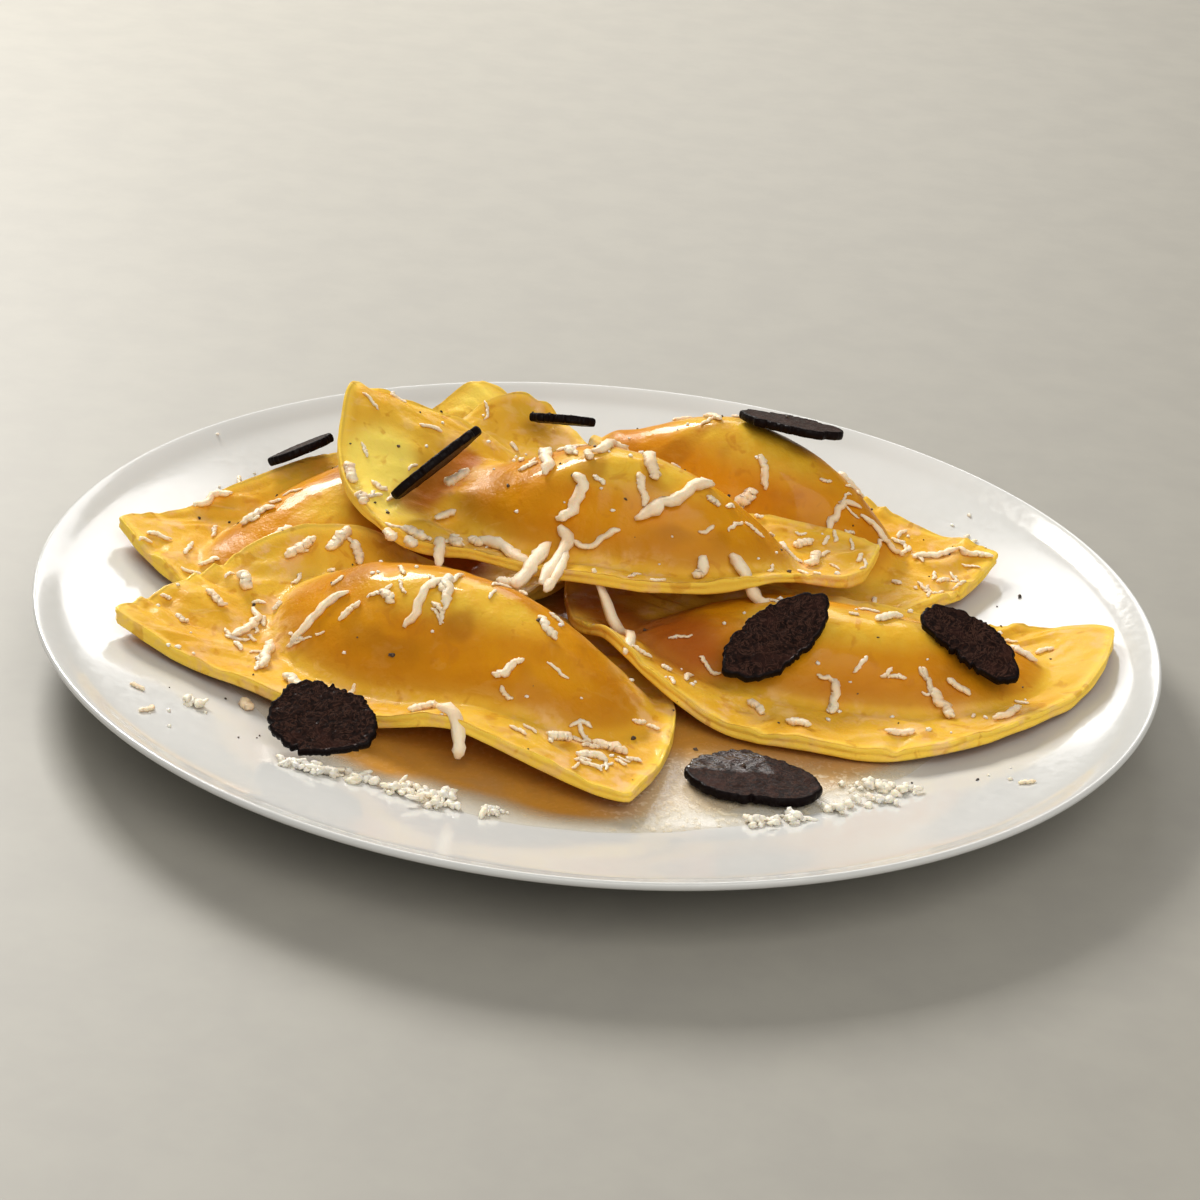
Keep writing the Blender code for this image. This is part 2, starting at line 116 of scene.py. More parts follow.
# Shreds of cheese: points (x, y) that lie on the food, or (x, y, z) where a shred hangs,
# then the width.
SHREDS = (
    ((-68, -2), (-62, 3), 1.7), ((-59, 1), (-55, 7), 1.8),
    ((-35, -3, 27.5), (-34.6, -8, 27), (-34.3, -12.5, 25.3), 1.7),
    ((-31, -27), (-31, -34), 1.4), ((-39, -37), (-35, -33), (-32, -29), 1.4),
    ((-27, 3), (-22, -0.5), (-19, -6, 26.5), (-16, -9.3, 26.5), 2.1),
    ((-12, 1), (-14.6, -8.5, 26.5), (-16.7, -14.4, 25), (-18.4, -17, 24.5), 2.3),
    ((-8, -1, 26.5), (-9.3, -12, 26), (-11.6, -17.5, 24), 1.5),
    ((-8, 10), (-6, 8.5), (-7, 6), (-9, 4), (-11, 4), 2.0),
    ((-10, 3), (-8, 1), (-9, -3, 26.5), (-11, -10, 26), (-12.6, -16, 25), 1.9),
    ((-16, 24), (-15, 19), (-14, 12), 1.9), ((-10, 22), (-9.5, 18), 1.5), ((-5, 17), (-5, 13), 1.3),
    ((3, 28), (-2, 23), (-4, 16), 1.7), ((7, 16), (8, 11), (10, 9), 1.9),
    ((6, 3), (11, 4), (15, 7), (19, 12), (22, 15), 2.2), ((-7, 1), (-2, 1), (3, 2), 1.1),
    ((-37, 9, 26.5), (-33, 13, 27), 1.3), ((-36, 20, 30), (-34, 21, 31), (-31, 22, 33), 1.8),
    ((-31, 1), (-31, -6), 1.6),
    ((-31.2, -28), (-31.5, -37), 1.4), ((28, 37), (33, 40), 2.6), ((21, -1), (20, -5), 1.8),
    ((27, 0), (30, -3), (33, -6), (36, -7, 21), 2.0), ((42, 23), (46, 26), 1.4),
    ((-46.7, -1, 27.5), (-44.5, -5, 27), 1.7), ((-42, -3, 27), (-40, -6, 26.5), 1.7),
    ((-54, 9), (-52, 6), 1.7),
    ((-22, -14, 24), (-18, -14.5, 24), 1.7), ((21, 9), (24, 9), 1.2),
    ((-43, 1), (-38, -1), 1.7), ((-46, 3), (-44, 0), 1.5), ((-29, 3), (-26, 1), 1.6),
    ((-2, -8), (4, -14), (7, -22, 18), (6, -31, 18), 1.6), ((6, -37), (12, -38), (18, -37), 1.2),
    ((14, -19), (15, -28), (17, -39), 1.3),
    ((-75, -26), (-72, -16), 1.3), ((-67, -37), (-67, -26), 1.5), ((-70, -45), (-68, -49), 1.6),
    ((-63, -29), (-58, -27), (-52, -24), 1.3), ((-53, -30), (-49, -28), 1.0),
    ((-74, -11), (-77, -7), 1.8),
    ((-30, -60, 17.5), (-26.5, -62.5, 17.5), (-25, -66, 13), (-25, -67, 10), 1.9),
    ((49, 33), (57, 41), 1.2), ((42, 25), (50, 35), 1.1), ((57, 39), (68, 41), 1.2),
    ((70, 40), (80, 42), 1.2), ((80, 42), (88, 39), 1.1),
    ((50, -27), (49, -34), 1.3), ((70, -28), (74, -34), 1.6), ((73, -26), (78, -28), 1.2),
    ((32, -33), (35, -37), 1.3), ((44, 15), (47, 22), 1.5),
    ((-58, 19), (-55, 14), 1.7), ((-54, 5), (-52, 0), 1.5), ((-48, -1), (-45, 2), 1.5),
    ((-41, -5), (-36, -8), 1.7), ((-30, -5), (-27, -8), 1.7), ((-45, -28), (-42, -32), 1.3),
    ((6, 10), (8, 5), 1.3), ((33, 45), (35, 40), 1.3), ((43, 45), (46, 41), 1.3),
    ((-8, -62), (-3, -61), 1.6), ((1, -58), (8, -60), 1.5), ((-2, -66), (4, -65), 1.2),
    ((-63, -40), (-58, -44), 1.6), ((-83, -14), (-78, -17), 1.2), ((-60, -45), (-55, -43), 1.2),
    ((-96, 34), (-90, 38), 1.2), ((-92, 26), (-84, 30), 1.3), ((-88, 34), (-80, 33), 1.2),
    ((-80, 16), (-73, 18), 1.3), ((-74, 8), (-68, 10), 1.4), ((-84, 40), (-77, 42), 1.2),
    ((-20, -50), (-14, -48), 1.2), ((-36, -55), (-30, -55), 1.3), ((-12, -36), (-8, -41), 1.2),
    ((58, -14), (64, -10), 1.3), ((88, -8), (93, -13), 1.3), ((60, -41), (66, -41), 1.2),
    ((40, -39), (45, -41), 1.3), ((82, -36), (88, -32), 1.3), ((52, 52), (58, 50), 1.2),
    ((-34, 70), (-28, 72), 1.3), ((20, 60), (24, 55), 1.2), ((62, 60), (67, 57), 1.2),
)

# Where thin bits of cheese lie thick: middle (x, y), number and spread.
FINE = (
    (-71, -27, 7, 3.5), (-66, -36, 7, 3.0), (-58, -29, 4, 3.0), (-67, -13, 4, 3.0),
    (-88, 8, 5, 4.0), (-78, 20, 4, 4.0), (52, 29, 5, 3.0), (58, 21, 5, 3.5), (65, 52, 4, 3.0),
    (57, 45, 4, 3.0), (66, 39, 6, 3.5), (73, 27, 5, 3.5), (3, -60, 5, 3.0), (0, -67, 4, 2.0),
    (8, -63, 4, 2.0), (-5, -59, 4, 2.5), (66, -29, 4, 3.0), (73, -31, 4, 3.0), (51, -29, 3, 3.0),
    (-34, -33, 4, 3.0), (-40, -29, 4, 3.0), (83, -26, 4, 3.0), (-40, 0, 7, 3.0),
    (-33, 0, 5, 2.5), (-50, 8, 4, 2.5), (28, 2, 5, 4.0), (38, 14, 5, 3.5), (12, -4, 3, 3.0),
    (90, -2, 5, 4.0), (45, -36, 4, 4.0), (15, 30, 4, 4.0), (-12, 24, 5, 4.0),
)
SHRED_SCALE = 1.3           # widths in the table are a little thin
SHRED_SIDES = 8

# Heaps of crumbs on the plate: middle (x, y), number and spread.
HEAPS = (
    (-79, -53, 4, 1.0), (-57, -72.5, 14, 1.3), (-53.5, -73.5, 16, 1.4), (-49.5, -73.5, 8, 1.2),
    (-43.4, -72.6, 16, 1.5), (-34.5, -76, 16, 1.8), (-30, -78, 12, 1.6), (-26.3, -76, 7, 0.9),
    (-27, -81, 6, 1.5), (-16.6, -81.2, 5, 1.4), (36, -76, 10, 1.8), (41, -73.7, 6, 1.4),
    (55, -57.5, 6, 1.4), (59, -57, 5, 1.6), (58, -65, 5, 2.0), (50, -68, 5, 2.0),
    (64, -60, 4, 1.8),
)

# Coarse specks of pepper (x, y).
PEPPER = ((-12, -37), (9, -52), (22, -48), (24, 30), (26, 22), (-22, 15), (10, -12), (94, 30),
          (60, 64), (-41, -40), (-56, -18), (40, 4), (62, -4), (-74, 30))

BUTTER_DEPTH = 0.34
BUTTER_POINTS = 220
BUTTER_CELL = 2.0

# Lamps: name, place and side in metres, watts, colour.
LAMPS = (
    ("key", (-0.52, 0.95, 0.75), 0.42, 17.5, (1.0, 0.975, 0.93)),
    ("back", (0.06, 1.08, 0.58), 0.4, 1.8, (1.0, 0.98, 0.97)),
    ("fill", (0.3, -0.9, 1.0), 1.1, 9.0, (1.0, 0.97, 0.92)),
)
LAMP_AIM = (0.0, 0.0, 0.02)
SKY = (1.0, 0.98, 0.93, 1.0)
SKY_STRENGTH = 0.36

# Camera: degrees down from level and of roll, metres from what it looks at, and its lens.
CAMERA_TILT = 25.7
CAMERA_ROLL = 5.0
CAMERA_DISTANCE = 0.65
CAMERA_AIM = (0.0, 0.014, 0.008)
CAMERA_LENS = 88.5
CAMERA_SENSOR = 36.0


# --- small tools

def smoothstep(x):
    """Rise from 0 to 1 without a corner at either end."""
    x = np.clip(x, 0.0, 1.0)
    return x * x * (3.0 - 2.0 * x)


def perlin(x, y, z=0.0):
    """Smooth noise from about -1 to 1."""
    return noise.noise(Vector((x, y, z)))


def new_object(name, verts_mm, faces, material, smooth=True, crease=None):
    """Piece of the dish, from millimetre vertices; edges steeper than the crease are sharp."""
    mesh = bpy.data.meshes.new(name)
    mesh.from_pydata([(v[0] * MM, v[1] * MM, v[2] * MM) for v in verts_mm], [], faces)
    mesh.validate()
    mesh.materials.append(material)
    if smooth:
        mesh.shade_smooth()
    if crease is not None:
        mesh.set_sharp_from_angle(angle=math.radians(crease))
    obj = bpy.data.objects.new(name, mesh)
    bpy.context.scene.collection.objects.link(obj)
    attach(obj, "root")
    return obj


def paint(obj, name, values):
    """One colour per vertex, kept for the material."""
    layer = obj.data.color_attributes.new(name, "FLOAT_COLOR", "POINT")
    flat = np.ones((len(values), 4))
    flat[:, :3] = values
    layer.data.foreach_set("color", flat.ravel())


def node_mesh(name):
    """Corners and triangles of a solid, in millimetres, without doubled corners."""
    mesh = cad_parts[name].data
    keys = {}
    verts = []
    index = []
    for v in mesh.vertices:
        key = tuple(round(c / MM, 3) for c in v.co)
        if key not in keys:
            keys[key] = len(verts)
            verts.append(Vector(key))
        index.append(keys[key])
    faces = [tuple(index[i] for i in p.vertices) for p in mesh.polygons]
    return verts, [f for f in faces if len(set(f)) == len(f)]


def blur(field, sigma):
    """Gaussian blur of a grid, its border values carried on outside."""
    reach = int(math.ceil(3.0 * sigma))
    weights = np.exp(-0.5 * (np.arange(-reach, reach + 1) / sigma) ** 2)
    weights /= weights.sum()
    padded = np.pad(field, reach, mode="edge")
    n, m = field.shape
    rows = sum(w * padded[i:i + n, :] for i, w in enumerate(weights))
    return sum(w * rows[:, i:i + m] for i, w in enumerate(weights))


def read_grid(field, corner, step, x, y):
    """Bilinear value of a grid whose first point is the corner."""
    fx = min(max((x - corner[0]) / step, 0.0), field.shape[0] - 1.001)
    fy = min(max((y - corner[1]) / step, 0.0), field.shape[1] - 1.001)
    i, j = int(fx), int(fy)
    a, b = fx - i, fy - j
    near = field[i, j] * (1 - b) + field[i, j + 1] * b
    far = field[i + 1, j] * (1 - b) + field[i + 1, j + 1] * b
    return float(near * (1 - a) + far * a)


def skin(rings, count):
    """Faces between rings of points, each ring given by its first point and its number."""
    faces = []
    for (sa, na), (sb, nb) in zip(rings[:-1], rings[1:]):
        for k in range(count):
            n = (k + 1) % count
            if na == 1:
                faces.append((sa, sb + k, sb + n))
            elif nb == 1:
                faces.append((sa + k, sb, sa + n))
            else:
                faces.append((sa + k, sb + k, sb + n, sa + n))
    return faces


# --- materials

class Nodes:
    """Principled material and a short way to wire it."""

    def __init__(self, name, colour, roughness, **sockets):
        """Sockets are named with underscores for blanks."""
        self.material = bpy.data.materials.new(name)
        self.material.use_nodes = True
        self.tree = self.material.node_tree
        self.principled = self.tree.nodes["Principled BSDF"]
        self.principled.inputs["Base Color"].default_value = (*colour, 1.0)
        self.principled.inputs["Roughness"].default_value = roughness
        for key, value in sockets.items():
            self.principled.inputs[key.replace("_", " ")].default_value = value
        self.where = self.make("ShaderNodeTexCoord").outputs["Object"]

    def make(self, kind, **values):
        node = self.tree.nodes.new(kind)
        for key, value in values.items():
            setattr(node, key, value)
        return node

    def link(self, output, target):
        self.tree.links.new(output, target)

    def noise(self, scale, detail=3.0, rough=0.55, distortion=0.0, stretch=None):
        node = self.make("ShaderNodeTexNoise")
        node.inputs["Scale"].default_value = scale
        node.inputs["Detail"].default_value = detail
        node.inputs["Roughness"].default_value = rough
        node.inputs["Distortion"].default_value = distortion
        if stretch is None:
            self.link(self.where, node.inputs["Vector"])
        else:
            mapping = self.make("ShaderNodeMapping")
            mapping.inputs["Scale"].default_value = stretch
            self.link(self.where, mapping.inputs["Vector"])
            self.link(mapping.outputs["Vector"], node.inputs["Vector"])
        return node.outputs["Fac"]

    def ramp(self, value, low, high, start=0.0, end=1.0):
        node = self.make("ShaderNodeMapRange", interpolation_type="SMOOTHSTEP")
        self.link(value, node.inputs["Value"])
        node.inputs["From Min"].default_value = low
        node.inputs["From Max"].default_value = high
        node.inputs["To Min"].default_value = start
        node.inputs["To Max"].default_value = end
        return node.outputs["Result"]

    def times(self, a, b):
        node = self.make("ShaderNodeMath", operation="MULTIPLY")
        self.link(a, node.inputs[0])
        if isinstance(b, float):
            node.inputs[1].default_value = b
        else:
            self.link(b, node.inputs[1])
        return node.outputs[0]

    def plus(self, a, b):
        node = self.make("ShaderNodeMath", operation="ADD")
        self.link(a, node.inputs[0])
        self.link(b, node.inputs[1])
        return node.outputs[0]

    def mix(self, factor, a, b):
        node = self.make("ShaderNodeMix", data_type="RGBA")
        self.link(factor, node.inputs["Factor"])
        for name, colour in (("A", a), ("B", b)):
            socket = [s for s in node.inputs if s.name == name and s.type == "RGBA"][0]
            if isinstance(colour, tuple):
                socket.default_value = (*colour, 1.0)
            else:
                self.link(colour, socket)
        return [s for s in node.outputs if s.type == "RGBA"][0]

    def zone(self, name):
        node = self.make("ShaderNodeAttribute", attribute_name=name)
        split = self.make("ShaderNodeSeparateColor")
        self.link(node.outputs["Color"], split.inputs["Color"])
        return split.outputs["Red"], split.outputs["Green"], split.outputs["Blue"]

    def bump(self, height, strength, distance, under=None):
        node = self.make("ShaderNodeBump")
        node.inputs["Strength"].default_value = strength
        node.inputs["Distance"].default_value = distance
        self.link(height, node.inputs["Height"])
        if under is not None:
            self.link(under, node.inputs["Normal"])
        return node.outputs["Normal"]

    def finish(self, colour=None, roughness=None, normal=None, alpha=None):
        for socket, output in (("Base Color", colour), ("Roughness", roughness),
                               ("Normal", normal), ("Alpha", alpha)):
            if output is not None:
                self.link(output, self.principled.inputs[socket])
        return self.material


def dough_material():
    """Egg dough: amber where it is wet and filled, with painted light paler on the crests,
    far slopes and cut edge, and painted shade at the foot of the filling and along shade lines.
    """
    n = Nodes("egg_dough", (0.78, 0.42, 0.03), 0.4, Subsurface_Weight=0.2,
              Subsurface_Radius=(1.0, 0.7, 0.12), Subsurface_Scale=0.002, Coat_Roughness=0.08,
              Specular_IOR_Level=0.06)
    dome, rim, damp = n.zone("zone")
    broad = n.noise(55.0, 3.0, 0.6)
    middle = n.noise(190.0, 4.0, 0.6)
    mottle = n.noise(420.0, 3.0, 0.65, 0.4)
    fine = n.noise(900.0, 2.0, 0.5)
    flange = n.mix(n.ramp(broad, 0.35, 0.65), (0.82, 0.49, 0.05), (0.76, 0.4, 0.03))
    filled = n.mix(n.ramp(broad, 0.35, 0.7), (0.71, 0.3, 0.006), (0.62, 0.23, 0.005))
    # Painted light: paler yellow on the crest of the filling, where light falls on its top.
    lit_crest = n.mix(n.ramp(middle, 0.35, 0.65), (0.84, 0.56, 0.06), (0.79, 0.46, 0.03))
    # Bright yellow where the dough is dry: dry dough, and painted light on lit corners and tops.
    flange = n.mix(n.ramp(damp, 0.35, 0.05), flange, (1.0, 0.76, 0.14))
    colour = n.mix(n.ramp(dome, 0.01, 0.3), flange, filled)
    # Painted shade, with butter pooled there, darkens the foot of the filling where it meets the
    # flange.
    foot = n.times(n.ramp(dome, 0.03, 0.14), n.ramp(dome, 0.5, 0.2))
    colour = n.mix(n.times(foot, 0.5), colour, (0.5, 0.18, 0.008))
    colour = n.mix(n.times(n.ramp(dome, 0.66, 0.95), 0.8), colour, lit_crest)
    # Painted light: the cut edge is painted paler yellow, as if light shone through the thin dough.
    colour = n.mix(n.times(n.ramp(rim, 0.2, 0.8), 0.95), colour, (0.99, 0.65, 0.085))
    starch = n.times(n.ramp(middle, 0.46, 0.64), n.ramp(damp, 0.45, 0.8))
    starch = n.times(starch, n.ramp(mottle, 0.3, 0.55, 0.45, 1.0))
    starch = n.times(starch, n.ramp(dome, 0.0, 0.25, 0.75, 0.12))
    colour = n.mix(starch, colour, (0.87, 0.53, 0.24))
    soft = n.times(n.ramp(n.noise(85.0, 1.0, 0.5), 0.56, 0.72), n.ramp(dome, 0.1, 0.5))
    colour = n.mix(n.times(soft, 0.6), colour, (0.42, 0.15, 0.006))
    spots = n.times(n.ramp(n.noise(230.0, 2.0, 0.5, 0.6), 0.6, 0.7), 0.45)
    colour = n.mix(spots, colour, (0.55, 0.2, 0.01))
    streaks = n.ramp(n.noise(210.0, 3.0, 0.6, 0.8, (0.45, 1.0, 1.0)), 0.56, 0.68)
    streaks = n.times(streaks, n.ramp(dome, 0.0, 0.2, 0.45, 0.08))
    colour = n.mix(streaks, colour, (0.88, 0.58, 0.2))
    # Painted shadow: reddish brown along the shade lines of the table.
    painted_shade_mask = n.zone("painted_shade")[0]
    colour = n.mix(n.times(n.ramp(painted_shade_mask, 0.1, 0.9), 0.8), colour, (0.38, 0.08, 0.012))
    rough = n.ramp(middle, 0.3, 0.75, 0.26, 0.5)
    n.link(n.ramp(dome, 0.35, 0.8, 0.05, 0.3), n.principled.inputs["Coat Weight"])
    normal = n.bump(fine, 0.22, 0.00025)
    normal = n.bump(middle, 0.6, 0.0009, normal)
    return n.finish(colour, rough, normal)


def truffle_material():
    """Black truffle: dark marbled flesh, a blacker warty rind, and a wet film in places."""
    n = Nodes("black_truffle", (0.02, 0.009, 0.006), 0.5, Coat_Roughness=0.27,
              Specular_IOR_Level=0.04)
    rind, wet, _ = n.zone("zone")
    veins = n.noise(330.0, 4.0, 0.6, 2.2)
    lines = n.times(n.ramp(veins, 0.47, 0.5), n.ramp(veins, 0.56, 0.51))
    grain = n.noise(1300.0, 3.0, 0.6)
    flesh = n.mix(n.ramp(grain, 0.35, 0.7), (0.005, 0.0015, 0.001), (0.022, 0.007, 0.004))
    flesh = n.mix(n.times(lines, 0.5), flesh, (0.09, 0.04, 0.026))
    brown = n.times(n.ramp(n.noise(150.0, 2.0, 0.5), 0.5, 0.7), 0.5)
    flesh = n.mix(brown, flesh, (0.045, 0.014, 0.009))
    colour = n.mix(n.ramp(rind, 0.4, 0.9), flesh, (0.006, 0.003, 0.003))
    rough = n.ramp(grain, 0.3, 0.7, 0.35, 0.6)
    normal = n.bump(grain, 0.4, 0.0003)
    normal = n.bump(veins, 0.16, 0.0005, normal)
    drops = n.noise(300.0, 3.0, 0.6)
    film = n.times(n.ramp(wet, 0.25, 0.8, 0.08, 1.0), n.ramp(drops, 0.38, 0.5, 0.25, 1.0))
    n.link(film, n.principled.inputs["Coat Weight"])
    n.link(n.bump(drops, 0.6, 0.0015), n.principled.inputs["Coat Normal"])
    return n.finish(colour, rough, normal)


def glaze_material():
    """White glazed porcelain with faint unevenness in the glaze."""
    n = Nodes("white_glaze", (0.7, 0.7, 0.685), 0.14, Coat_Weight=0.2, Coat_Roughness=0.06)
    broad = n.noise(22.0, 2.0, 0.5)
    fine = n.noise(500.0, 3.0, 0.6)
    colour = n.mix(n.ramp(broad, 0.3, 0.7), (0.7, 0.7, 0.685), (0.66, 0.665, 0.65))
    colour = n.mix(n.times(n.ramp(fine, 0.66, 0.8), 0.25), colour, (0.58, 0.58, 0.56))
    rough = n.ramp(fine, 0.3, 0.7, 0.09, 0.2)
    normal = n.bump(broad, 0.12, 0.002)
    normal = n.bump(fine, 0.03, 0.0002, normal)
    return n.finish(colour, rough, normal)


def cheese_material(name, pale, warm):
    """Grated hard cheese."""
    n = Nodes(name, pale, 0.5, Subsurface_Weight=0.3, Subsurface_Radius=(1.0, 0.6, 0.3),
              Subsurface_Scale=0.002)
    grain = n.noise(1100.0, 3.0, 0.65)
    broad = n.noise(160.0, 2.0, 0.5)
    colour = n.mix(n.ramp(broad, 0.35, 0.65), pale, warm)
    colour = n.mix(n.times(n.ramp(grain, 0.55, 0.75), 0.4), colour, (0.78, 0.52, 0.26))
    rough = n.ramp(grain, 0.3, 0.7, 0.38, 0.62)
    return n.finish(colour, rough, n.bump(grain, 0.5, 0.0004))


def pepper_material():
    """Cracked black pepper."""
    n = Nodes("cracked_pepper", (0.03, 0.018, 0.01), 0.6)
    grain = n.noise(1500.0, 2.0, 0.5)
    colour = n.mix(n.ramp(grain, 0.4, 0.65), (0.02, 0.012, 0.008), (0.12, 0.07, 0.035))
    return n.finish(colour, n.ramp(grain, 0.3, 0.7, 0.5, 0.75), n.bump(grain, 0.6, 0.0003))


def butter_material():
    """Thin butter: golden where it is deep and, as painted shade, beside the pasta; nearly clear at
    its edge.
    """
    n = Nodes("melted_butter", (0.7, 0.4, 0.1), 0.2, Coat_Weight=0.12, Coat_Roughness=0.08,
              Specular_IOR_Level=0.3)
    deep, froth, _ = n.zone("zone")
    blots = n.noise(110.0, 3.0, 0.6, 0.4)
    beads = n.noise(650.0, 3.0, 0.6)
    colour = n.mix(n.ramp(deep, 0.1, 0.9), (0.86, 0.74, 0.5), (0.74, 0.35, 0.05))
    cream = n.times(n.ramp(beads, 0.5, 0.68), n.ramp(froth, 0.2, 0.9))
    colour = n.mix(n.times(cream, 0.7), colour, (0.85, 0.76, 0.58))
    alpha = n.plus(n.ramp(deep, 0.0, 1.0, 0.12, 0.8), n.times(cream, 0.35))
    alpha = n.times(alpha, n.ramp(blots, 0.25, 0.6, 0.75, 1.0))
    rough = n.ramp(beads, 0.4, 0.7, 0.16, 0.34)
    return n.finish(colour, rough, n.bump(blots, 0.25, 0.0008), alpha)


# --- plate

def plate_profile():
    """Section of the plate from the middle of the eating side round to the foot."""
    points = np.array(PLATE_TOP + PLATE_REST, dtype=float)
    fine = []
    for i in range(len(points) - 1):
        p0 = points[max(i - 1, 0)]
        p1, p2 = points[i], points[i + 1]
        p3 = points[min(i + 2, len(points) - 1)]
        length = np.hypot(*(p2 - p1))
        m1 = (p2 - p0) * length / (np.hypot(*(p1 - p0)) + length + 1e-9)
        m2 = (p3 - p1) * length / (np.hypot(*(p3 - p2)) + length + 1e-9)
        for t in np.arange(4) / 4.0:
            h = (2 * t ** 3 - 3 * t ** 2 + 1, t ** 3 - 2 * t ** 2 + t,
                 -2 * t ** 3 + 3 * t ** 2, t ** 3 - t ** 2)
            r, z = h[0] * p1 + h[1] * m1 + h[2] * p2 + h[3] * m2
            fine.append((min(max(r, 0.0), PLATE_RADIUS), max(z, 0.0)))
    fine.append(tuple(points[-1]))
    return fine


def build_plate(material):
    """Plate turned about the Z axis."""
    profile = plate_profile()
    verts = [(0.0, 0.0, profile[0][1])]
    rings = [(0, 1)]
    for r, z in profile[1:-1]:
        rings.append((len(verts), PLATE_STEPS))
        for k in range(PLATE_STEPS):
            a = math.tau * k / PLATE_STEPS
            verts.append((r * math.cos(a), r * math.sin(a), z))
    rings.append((len(verts), 1))
    verts.append((0.0, 0.0, profile[-1][1]))
    faces = skin(rings, PLATE_STEPS)
    obj = new_object("dinner_plate", verts, faces, material)
    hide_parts("plate")


def plate_height(x, y):
    """Height of the eating side."""
    return np.interp(np.hypot(x, y), *EATING_SIDE)


# --- ravioli

def half_moon(spec, count):
    """Half-moon outline with rounded corners, evenly spaced."""
    half, depth = spec["half"], spec["depth"]
    fine = []
    for k in range(1440):
        a = math.tau * k / 1440
        c, s = math.cos(a), math.sin(a)
        u = half * math.copysign(abs(c) ** spec["blunt"][c > 0.0], c)
        if s >= 0.0:
            v = depth * s ** 0.96
        else:
            v = -0.075 * depth * abs(s) ** 0.55
        fine.append((u + spec["skew"] * v, v + 0.05 * depth))
    points = np.array(fine)
    steps = np.hypot(*(np.roll(points, -1, axis=0) - points).T)
    along = np.concatenate(([0.0], np.cumsum(steps)))
    closed = np.vstack((points, points[:1]))
    wanted = np.arange(count) * along[-1] / count
    return np.stack([np.interp(wanted, along, closed[:, k]) for k in (0, 1)], axis=1)


def to_plate(spec, u, v):
    """Point of a raviolo on the plate."""
    turn = math.radians(spec["turn"])
    c, s = math.cos(turn), math.sin(turn)
    return spec["edge"][0] + u * c - v * s, spec["edge"][1] + u * s + v * c


def filling(spec, u, v):
    """Share of the way out from the filling's middle, and its height."""
    u0, v0, half_u, half_v, height = spec["mound"]
    p = (u - u0) / half_u
    q = (v - v0) / half_v
    away = (np.abs(p) ** 2.3 + np.abs(q) ** 2.3) ** (1.0 / 2.3)
    lumps = 1.0 + 0.05 * np.sin(4.1 * p + spec["turn"]) + 0.04 * np.sin(3.3 * q - 2.0 * p)
    shape = (1.0 - np.minimum(away, 1.0) ** 2.2)
    crisp = 1.04 + (spec["soft"] > 3.0) * 0.7 * smoothstep((p - 0.2) / 0.8)
    fine = height * lumps * shape ** crisp
    side, strength = spec["ridge"]
    slope = 1.45 * height * (1.0 - side * q)
    gap = np.maximum(0.16 * height - np.abs(fine - slope), 0.0)
    cut = np.minimum(fine, slope) - gap ** 2 / (0.64 * height)
    fine = fine + strength * (np.maximum(cut, 0.0) - fine) * smoothstep((side * q + 0.1) / 0.3)
    return away, height * lumps * shape ** 1.15, fine


def cast_field(spec, tree, us, vs, rim, from_above):
    """Height of a solid over the grid, carried on sideways outside its outline."""
    centre = np.array((0.0, RING_CENTRE * spec["depth"]))
    angle = np.mod(np.arctan2(*(rim - centre).T[::-1]), math.tau)
    order = np.argsort(angle)
    limit_at = np.hypot(*(rim - centre).T)[order]
    result = np.zeros((len(us), len(vs)))
    direction = Vector((0.0, 0.0, -1.0 if from_above else 1.0))
    start = ABOVE if from_above else BELOW
    for i, u in enumerate(us):
        du, dv = u - centre[0], vs - centre[1]
        away = np.hypot(du, dv) + 1e-9
        limit = np.interp(np.mod(np.arctan2(dv, du), math.tau), angle[order], limit_at,
                          period=math.tau)
        share = np.minimum(1.0, 0.972 * limit / away)
        x, y = to_plate(spec, centre[0] + du * share, centre[1] + dv * share)
        for j in range(len(vs)):
            hit = tree.ray_cast(Vector((x[j], y[j], start)), direction)[0]
            result[i, j] = hit.z if hit is not None else np.nan
    result[np.isnan(result)] = np.nanmean(result)
    return result


def dough_relief(spec, ring, theta, u, v, away, inward, seed):
    """Small unevenness of the dough: lumps, creases, a pinched line and a raised lip."""
    lump = 0.5 * perlin(u * 0.085, v * 0.085, seed) + 0.2 * perlin(u * 0.24, v * 0.24, seed)
    free = float(smoothstep((away - 1.0) / 0.22))
    sway = 1.6 * perlin(u * 0.05, v * 0.05, seed + 21.0)
    c, s = math.cos(theta + 0.35 * sway), math.sin(theta + 0.35 * sway)
    patch = 0.5 + 0.9 * perlin(u * 0.045, v * 0.045, seed + 33.0)
    folds = perlin(5.0 * c, 5.0 * s, seed + ring)
    folds += 0.55 * perlin(11.0 * c, 11.0 * s, seed + 2.0 * ring)
    ends = abs(u) / spec["half"]
    folds *= spec["folds"] * free * max(patch, 0.0) * (0.5 + 0.9 * ends)
    pinch = -0.6 * math.exp(-((away - 1.06) / 0.06) ** 2) * (0.7 + 0.6 * perlin(u * 0.1, v * 0.1))
    pleats = perlin(8.0 * c, 8.0 * s, seed + 5.0) * max(patch, 0.0)
    pleats *= 0.45 * math.exp(-((away - 0.93) / 0.13) ** 2)
    lip = 0.75 * math.exp(-(inward / 1.9) ** 2) - 0.3 * math.exp(-((inward - 4.4) / 1.6) ** 2)
    lip *= 0.75 + 0.7 * perlin(4.0 * c, 4.0 * s, seed + 44.0)
    return lump + 1.5 * folds + pinch + pleats + lip * free


